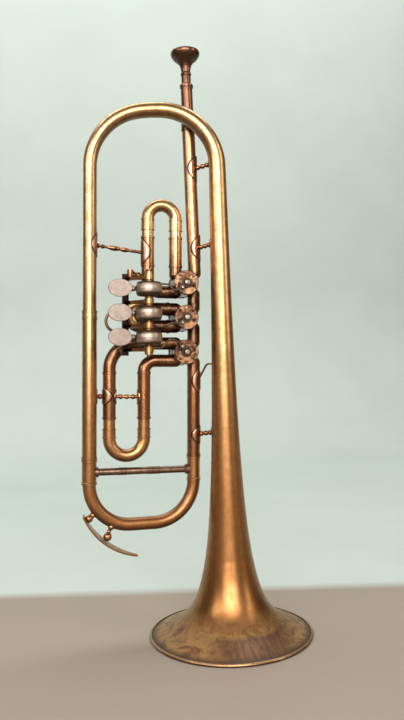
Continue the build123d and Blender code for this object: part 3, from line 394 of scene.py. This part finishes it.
STEEL = dark_steel("spring_steel")
CORK = cork_surface("cork")
SLOT_FINISHES = {
    "golden_brass": GOLD,
    "tarnished_brass": RED,
    "nickel_silver": NICKEL,
    "spring_steel": STEEL,
    "cork": CORK,
}
OWN_FINISHES = {
    "bell": BELL,
    "rim_wire": RIM,
    "bearing_plates": PLATE,
    "finger_hook": GOLD,
    "mouthpiece": DARK,
    "mouthpiece_receiver": DARK,
    "main_slide_brace": BLACK,
    "main_slide_ferrules": GOLD,
    "main_bow": BOW,
    "leadpipe": LEAD,
    "lever_frame": FRAME,
}
for number, crank_above in (("1", 0.0003), ("2", -0.0003), ("3", -0.0003)):
    drum, arm = "drum_" + number, "stop_arm_" + number
    stains_and_shade = drum_dark_bands(drum, crank_above)
    along = (160, 160, 2600)
    OWN_FINISHES[drum] = nickel(drum + "_nickel", (0.56, 0.45, 0.38), (0.34, 0.24, 0.18), along, stains_and_shade, 0.34)
    stains_and_shade = screw_stain(arm)
    every_way = (900, 900, 900)
    OWN_FINISHES[arm] = nickel(arm + "_metal", (0.60, 0.52, 0.44), (0.36, 0.28, 0.22), every_way, stains_and_shade)
    OWN_FINISHES["paddle_" + number] = TOUCH

slots = {part["node"]: part["material_slot"] for part in frame["record"]["subparts"]}
for name, node in nodes.items():
    node.data.materials.clear()
    node.data.materials.append(OWN_FINISHES.get(name) or SLOT_FINISHES[slots[name]])


# Saddle plates: thin pointed ovals soldered round the tubes where the stays stand, in a dark line of solder


TUBE_AXIS = Vector(joints["slide_1_draw"]["axis"]).normalized()
LEAD_AXIS = Vector(joints["mouthpiece_pull"]["axis"]).normalized()
LEAN = Vector((0, 0, 1)).rotation_difference(TUBE_AXIS)  # from a drawing in which the tubes stand upright
PLATE_THICK, SOLDER_THICK = 0.00055, 0.00018
SOLDER_MARGIN, SOLDER_WRAP = 0.0009, 11  # how far the solder shows past the plate: in metres, and in degrees
SINK = 0.0002  # how far the inside lies below the tube's surface
ROWS, COLUMNS = 48, 36
BLUNT_TIP = 0.015


def leaf_point(row, column, thick, half, wrap):
    """A point of the shell: its distance along the tube, its height above it, and its angle round it."""
    along = -1 + 2 * row / ROWS
    turn = 2 * math.pi * column / COLUMNS
    across = math.cos(turn)
    outline = max(math.cos(along * math.pi / 2) ** 0.8, BLUNT_TIP)
    swell = math.sqrt(max(0.0, 1 - abs(across) ** 5)) * (1 - 0.5 * abs(along) ** 6)
    height = thick * swell if math.sin(turn) > 0 else -SINK
    return half * along, height, math.radians(wrap) * outline * across


def leaf_mesh(name, centre, axis, facing, radius, thick, half, wrap):
    """A closed pointed oval of the given half length, wrapped round a tube by wrap degrees to each side."""
    facing = (facing - axis * facing.dot(axis)).normalized()
    side = axis.cross(facing)
    points, faces = [], []
    for row in range(ROWS + 1):
        for column in range(COLUMNS):
            along, height, angle = leaf_point(row, column, thick, half, wrap)
            outwards = facing * math.cos(angle) + side * math.sin(angle)
            points.append(centre + axis * along + outwards * (radius + height))
    for row in range(ROWS):
        first, second = row * COLUMNS, (row + 1) * COLUMNS
        for column in range(COLUMNS):
            after = (column + 1) % COLUMNS
            faces.append((first + column, first + after, second + after, second + column))
    faces.append(tuple(range(COLUMNS - 1, -1, -1)))
    faces.append(tuple(range(ROWS * COLUMNS, (ROWS + 1) * COLUMNS)))
    mesh = bpy.data.meshes.new(name)
    mesh.from_pydata(points, [], faces)
    mesh.polygons.foreach_set("use_smooth", [True] * len(faces))
    return mesh


def add_leaf(name, drawn, axis, facing, radius, half, wrap):
    """The plate and its solder. The centre and facing are given in the upright drawing, in metres."""
    centre, facing = LEAN @ Vector(drawn), LEAN @ Vector(facing)
    shapes = (
        ("saddle_" + name, PLATE_THICK, half, wrap, LEAF),
        ("solder_" + name, SOLDER_THICK, half + SOLDER_MARGIN, wrap + SOLDER_WRAP, SOLDER),
    )
    for title, thick, length, turn, finish in shapes:
        mesh = leaf_mesh(title, centre, axis, facing, radius, thick, length, turn)
        mesh.materials.append(finish)
        piece = bpy.data.objects.new(title, mesh)
        bpy.context.scene.collection.objects.link(piece)
        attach(piece, "body")


def on_leadpipe(z):
    """A point of the leadpipe's axis in the upright drawing, in metres."""
    foot, top = Vector((-0.0307, 0.020, 0.339)), Vector((-0.0401, 0.020, 0.5484))
    return foot + (top - foot) * ((z - foot.z) / (top.z - foot.z))


SLEEVE_R, LEFT_R, RIGHT_R = 0.0061, 0.0063, 0.0062  # outer radii of the tubes that carry the plates
SLIDE_1, SLIDE_3 = (-0.0762, 0.020), (-0.1122, 0.020)
LEFT_TUBE, RIGHT_LEG = (-0.131, 0.014), (-0.0317, 0.020)
TO_BELL = (1, -0.6, 0)
add_leaf("slide_1", (*SLIDE_1, 0.3575), TUBE_AXIS, (-1, -0.1, 0), SLEEVE_R, 0.0125, 98)
add_leaf("left_tube", (*LEFT_TUBE, 0.3615), TUBE_AXIS, (1, 0.1, 0), LEFT_R, 0.0125, 80)
add_leaf("lead_middle", on_leadpipe(0.3624), LEAD_AXIS, TO_BELL, SLEEVE_R, 0.0130, 90)
add_leaf("lead_top", on_leadpipe(0.4386), LEAD_AXIS, TO_BELL, SLEEVE_R, 0.0125, 90)
add_leaf("right_leg", (*RIGHT_LEG, 0.1847), TUBE_AXIS, TO_BELL, RIGHT_R, 0.0085, 85)
add_leaf("wire", (*RIGHT_LEG, 0.2360), TUBE_AXIS, (0.8, -1, 0), RIGHT_R, 0.0110, 62)
add_leaf("slide_3_outer", (*SLIDE_3, 0.2218), TUBE_AXIS, (-1, -0.5, 0), SLEEVE_R, 0.0080, 78)
add_leaf("slide_3_inner", (*SLIDE_3, 0.2214), TUBE_AXIS, (1, 0.3, 0), SLEEVE_R, 0.0080, 70)


# Stage


TURN = math.radians(14.0)  # of the photograph's camera, round the horn
TABLE_EDGE, EDGE_BLUR = 0.115, 0.025  # distance behind the bell where the floor's tone turns to the wall's
FLOOR_TONE, WALL_TONE = (0.36, 0.30, 0.25), (0.585, 0.655, 0.62)
BACKDROP_WIDTH, BACKDROP_HEIGHT, FLOOR_FRONT = 8.0, 4.0, -3.0
SWEEP_START, SWEEP_R, SWEEP_STEPS = 1.0, 0.5, 16


def stage_surface(name):
    """Plain paint. The edge between its tones runs square to the photograph's direction."""
    s = Surface(name, metallic=0.0)
    depth = s.plus(s.times(s.axis("X"), math.sin(TURN)), s.times(s.axis("Y"), math.cos(TURN)))
    far = s.math("MULTIPLY", s.minus(depth, TABLE_EDGE), 1 / EDGE_BLUR, clamp=True)
    unevenness = s.ramp(s.noise(5, 4, 0.55), (0.3, 0.94), (0.7, 1.0))
    return s.finish(s.mix(1.0, s.mix(far, FLOOR_TONE, WALL_TONE), unevenness, "MULTIPLY"), 0.85)


def sweep_backdrop():
    """A pale floor that curves up into a wall behind the object."""
    profile = [(FLOOR_FRONT, 0.0), (0.0, 0.0), (SWEEP_START, 0.0)]
    for step in range(1, SWEEP_STEPS + 1):
        turn = math.pi / 2 * step / SWEEP_STEPS
        profile.append((SWEEP_START + SWEEP_R * math.sin(turn), SWEEP_R * (1 - math.cos(turn))))
    profile.append((SWEEP_START + SWEEP_R, BACKDROP_HEIGHT))
    points = [(side * BACKDROP_WIDTH / 2, y, z) for y, z in profile for side in (-1, 1)]
    faces = [(2 * i, 2 * i + 1, 2 * i + 3, 2 * i + 2) for i in range(len(profile) - 1)]
    mesh = bpy.data.meshes.new("backdrop")
    mesh.from_pydata(points, [], faces)
    mesh.polygons.foreach_set("use_smooth", [True] * len(faces))
    mesh.materials.append(stage_surface("pale_stage"))
    backdrop = bpy.data.objects.new("backdrop", mesh)
    bpy.context.scene.collection.objects.link(backdrop)


def lamp(name, place, size, power, colour, target):
    light = bpy.data.lights.new(name, "AREA")
    light.shape = "RECTANGLE"
    light.size, light.size_y = size
    light.energy = power
    light.color = colour
    holder = bpy.data.objects.new(name, light)
    bpy.context.scene.collection.objects.link(holder)
    holder.location = place
    holder.rotation_euler = (Vector(target) - Vector(place)).to_track_quat("-Z", "Y").to_euler()


def world(colour, strength):
    made = bpy.data.worlds.new("room")
    made.use_nodes = True
    background = made.node_tree.nodes["Background"]
    background.inputs["Color"].default_value = (*colour, 1)
    background.inputs["Strength"].default_value = strength
    bpy.context.scene.world = made


def camera(drawn, pitch, lens):
    """The photograph's camera. It stood level with the valves, and it is set up against the leaning tubes."""
    flat = Vector((math.sin(TURN), math.cos(TURN), 0))
    forward = flat * math.cos(pitch) + Vector((0, 0, math.sin(pitch)))
    side = forward.cross(Vector((0, 0, 1))).normalized()
    rows = Matrix((side, side.cross(forward), -forward)).transposed()
    data = bpy.data.cameras.new("photograph")
    data.sensor_width, data.lens = 36.0, lens
    data.clip_start, data.clip_end = 0.01, 50
    holder = bpy.data.objects.new("photograph", data)
    bpy.context.scene.collection.objects.link(holder)
    holder.matrix_world = Matrix.Translation(LEAN @ Vector(drawn)) @ (LEAN.to_matrix() @ rows).to_4x4()
    bpy.context.scene.camera = holder


camera((-0.18387, -0.62404, 0.2453), math.radians(0.913), 34.5)
sweep_backdrop()
world((0.55, 0.38, 0.24), 0.22)
HORN, WALL = (-0.06, 0.0, 0.30), (0.0, 1.5, 0.6)
DAYLIGHT = (1.0, 0.985, 0.95)
lamp("key", (-0.36, -1.45, 0.72), (1.35, 0.85), 27, DAYLIGHT, HORN)
lamp("left", (-1.35, -0.75, 0.95), (0.8, 0.6), 6, DAYLIGHT, HORN)
lamp("side", (1.25, -1.0, 0.9), (0.5, 1.1), 6, (1.0, 0.95, 0.88), HORN)
lamp("wall", (0.0, 0.5, 2.4), (3.0, 1.0), 44, (0.97, 1.0, 0.98), WALL)
bpy.context.scene.view_settings.view_transform = "Standard"
